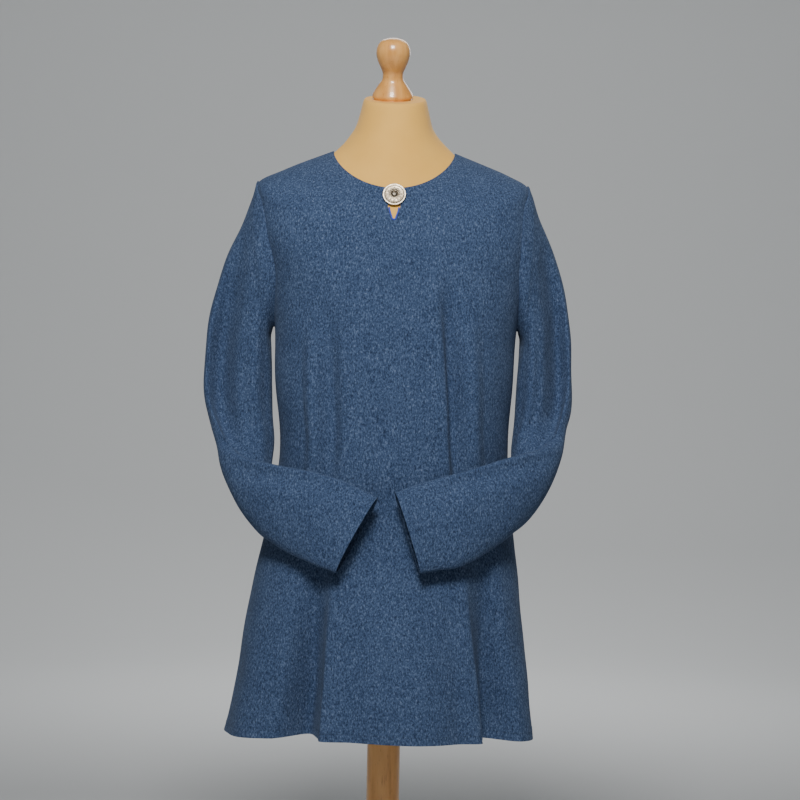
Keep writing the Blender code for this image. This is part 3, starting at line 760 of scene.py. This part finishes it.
def put_button(material):
    """The relief button on the chest: a turned plate with rings of beads and a band of small wire rings."""
    button = add_turned("relief_button", BUTTON_PROFILE, 96, fine=1)
    place, angle = on_front(0, BUTTON_HEIGHT)
    normal = Vector(cloth_normal_at(place, angle))
    seat = Vector(cloth_at(place, angle)) + normal * SEAM
    turn = Vector((0, 0, 1)).rotation_difference(normal).to_matrix().to_4x4()
    work = bmesh.new()
    work.from_mesh(button.data)
    for radius, height, count, size in ((7.1, 3.3, 22, 0.85), (15.2, 3.0, 48, 0.85), (2.9, 5.6, 6, 0.7), (0, 6.3, 1, 1.1)):
        for step in range(count):
            way = 2 * math.pi * step / count
            spot = Matrix.Translation(Vector((radius * math.cos(way), radius * math.sin(way), height)) * MM)
            bmesh.ops.create_icosphere(work, subdivisions=2, radius=size * MM, matrix=spot)
    work.to_mesh(button.data)
    work.free()
    for count, radius, size in ((12, 11.0, 1.55), (12, 11.0, 0.6)):
        for step in range(count):
            way = 2 * math.pi * step / count
            add_ring_to(button.data, radius * math.cos(way), radius * math.sin(way), 2.9, size, 0.38)
    button.data.shade_smooth()
    button.data.set_sharp_from_angle(angle=math.radians(50))
    button.data.transform(Matrix.Translation(seat * MM) @ turn)
    dress(button, material, "button")


def add_ring_to(mesh, x, y, z, radius, thickness):
    """Adds a small wire ring to the button's mesh."""
    work = bmesh.new()
    work.from_mesh(mesh)
    sides, around = 8, 20
    rows = []
    for step in range(around):
        way = 2 * math.pi * step / around
        row = []
        for side in range(sides):
            tilt = 2 * math.pi * side / sides
            reach = radius + thickness * math.cos(tilt)
            spot = (x + reach * math.cos(way), y + reach * math.sin(way), z + thickness * math.sin(tilt))
            row.append(work.verts.new(Vector(spot) * MM))
        rows.append(row)
    for step in range(around):
        for side in range(sides):
            after, next_side = (step + 1) % around, (side + 1) % sides
            work.faces.new((rows[step][side], rows[after][side], rows[after][next_side], rows[step][next_side]))
    work.to_mesh(mesh)
    work.free()


def put_edging(material):
    """The bright binding round the slit's lower end, as a fine round cord."""
    top = cloth_at(NECK, 90)[2]
    outline = np.array([point for point in whole_outline() if point[1] > 32])
    ways = np.gradient(outline, axis=0)
    ways /= np.linalg.norm(ways, axis=1)[:, None]
    curve = bpy.data.curves.new("slit_binding", "CURVE")
    curve.dimensions = "3D"
    curve.bevel_depth = 1.5 * MM
    curve.bevel_resolution = 5
    curve.use_fill_caps = True
    spline = curve.splines.new("POLY")
    spline.points.add(len(outline) - 1)
    inset = 1.7
    for point, (x, depth), way in zip(spline.points, outline, ways):
        place, angle = on_front(x - inset * way[1], top - (depth + inset * way[0]))
        middle = cloth_at(place, angle) - cloth_normal_at(place, angle) * 0.6
        point.co = (*(middle * MM), 1.0)
    binding = bpy.data.objects.new("slit_binding", curve)
    bpy.context.scene.collection.objects.link(binding)
    dress(binding, material, "slit_edging")


def add_stitches(name, path, normals, length, gap, radius, material):
    """A row of short stitches lying along a path of points."""
    path = np.asarray(path)
    reach = np.concatenate([[0], np.cumsum(np.linalg.norm(np.diff(path, axis=0), axis=1))])
    work = bmesh.new()
    for start in np.arange(0, reach[-1] - length, length + gap):
        ends = [np.array([np.interp(at, reach, path[:, axis]) for axis in range(3)]) for at in (start, start + length)]
        up = np.array([np.interp(start + length / 2, reach, normals[:, axis]) for axis in range(3)])
        way = Vector(ends[1] - ends[0])
        spot = Matrix.Translation(Vector((ends[0] + ends[1]) / 2 + up * radius * 0.3) * MM)
        turn = way.to_track_quat("X", "Z").to_matrix().to_4x4()
        shape = Matrix.Diagonal((length / 2 * MM, radius * MM, radius * MM, 1))
        bmesh.ops.create_icosphere(work, subdivisions=1, radius=1, matrix=spot @ turn @ shape)
    mesh = bpy.data.meshes.new(name)
    work.to_mesh(mesh)
    work.free()
    mesh.shade_smooth()
    stitches = bpy.data.objects.new(name, mesh)
    bpy.context.scene.collection.objects.link(stitches)
    return dress(stitches, material, None)


def put_stage():
    """A pale bowl whose floor runs up smoothly into its wall."""
    profile = [(BOWL_RADIUS, BOWL_HEIGHT)]
    for turn in np.linspace(0, math.pi / 2, 14):
        profile.append(
            (
                BOWL_RADIUS - BOWL_BEND + BOWL_BEND * math.cos(turn),
                BOWL_BEND - BOWL_BEND * math.sin(turn),
            )
        )
    profile.append((0, 0))
    table = [(radius / MM, height / MM) for radius, height in profile]
    bowl = add_turned("studio_bowl", table, 96, fine=1)
    bowl.data.materials.append(plain_material("pale_paper", (0.62, 0.635, 0.64), 0.9))


def put_light(name, place, size, power, aim=(0, 0, 1.0)):
    lamp = bpy.data.lights.new(name, "AREA")
    lamp.size = size
    lamp.energy = power
    thing = bpy.data.objects.new(name, lamp)
    thing.location = place
    thing.rotation_euler = (Vector(aim) - Vector(place)).to_track_quat("-Z", "Y").to_euler()
    bpy.context.scene.collection.objects.link(thing)


def put_lights():
    put_light("key", (-0.15, -2.4, 2.9), 0.8, 98)
    put_light("rim", (0.6, 3.2, 3.2), 2.5, 40)
    put_light("backdrop", (0, 2.2, 2.8), 2.0, 85, aim=(0, 6.5, 1.6))
    world = bpy.context.scene.world or bpy.data.worlds.new("studio")
    bpy.context.scene.world = world
    world.use_nodes = True
    world.node_tree.nodes["Background"].inputs["Color"].default_value = (0.93, 0.96, 1.0, 1.0)
    world.node_tree.nodes["Background"].inputs["Strength"].default_value = 0.045


def put_camera():
    camera = bpy.data.cameras.new("photo_camera")
    camera.sensor_width = SENSOR_WIDTH
    camera.lens = SENSOR_WIDTH * FOCAL_PIXELS / PHOTO_WIDTH
    thing = bpy.data.objects.new("photo_camera", camera)
    upright = Matrix.Rotation(math.radians(90), 4, "X")
    thing.matrix_world = Matrix.Translation(Vector(CAMERA_AT) * MM) @ upright @ Matrix.Rotation(CAMERA_ROLL, 4, "Z")
    bpy.context.scene.collection.objects.link(thing)
    bpy.context.scene.camera = thing


def sheet_area(thing):
    """The area of one face of a thin sheet, in square metres."""
    return sum(face.area for face in thing.data.polygons) / 2


def put_cloth(wool, thread):
    front = dress(add_front(), wool, "front_panel")
    back = dress(add_back(), wool, "back_panel")
    left_gore = dress(add_gore("gore_left_cloth", 0), wool, "gore_left")
    right_gore = dress(add_gore("gore_right_cloth", 180), wool, "gore_right")
    left_sleeve = dress(add_sleeve("sleeve_left_cloth", LEFT_SLEEVE, LEFT_CREASES, -1), wool, "sleeve_left")
    right_sleeve = dress(add_sleeve("sleeve_right_cloth", RIGHT_SLEEVE, RIGHT_CREASES, 1), wool, "sleeve_right")
    for thing in (front, back, left_gore, right_gore, left_sleeve, right_sleeve):
        print("area", thing.name, round(sheet_area(thing), 4))
    places = np.array([0.215])
    around = np.linspace(0, 360, 500)[None, :]
    path = cloth_points(places, around)[0]
    above = cloth_points(places + 0.02, around)[0]
    normals = np.cross(np.gradient(path, axis=0), above - path)
    normals /= np.linalg.norm(normals, axis=1)[:, None]
    hem_stitches = add_stitches("hem_stitches", path, normals, 3.4, 1.6, 0.45, thread)


def put_form(jersey, wood):
    dress(add_form(), jersey, "form_torso")
    knob = add_turned("turned_knob", KNOB_PROFILE, 72)
    up = Vector((0, -math.sin(NECK_SLOPE), math.cos(NECK_SLOPE)))
    seat = Vector((KNOB_X, 0, FORM_NECK[-1].height)) + up * SEAM
    knob.data.transform(Matrix.Translation(seat * MM) @ Matrix.Rotation(NECK_SLOPE, 4, "X"))
    dress(knob, wood, "neck_knob")
    pole = add_turned("round_pole", ((0, POLE_HIGH), (POLE_RADIUS, POLE_HIGH), (POLE_RADIUS, POLE_LOW), (0, POLE_LOW)), 72, fine=1)
    dress(pole, wood, "pole")
    dress(add_turned("round_foot", FOOT_PROFILE, 96, fine=1), wood, "base")


def main():
    put_camera()
    put_stage()
    put_lights()
    put_form(jersey_material(), wood_material())
    put_cloth(wool_material(), wool_material("blue_thread", 0.55))
    put_button(metal_material())
    put_edging(binding_material())


main()
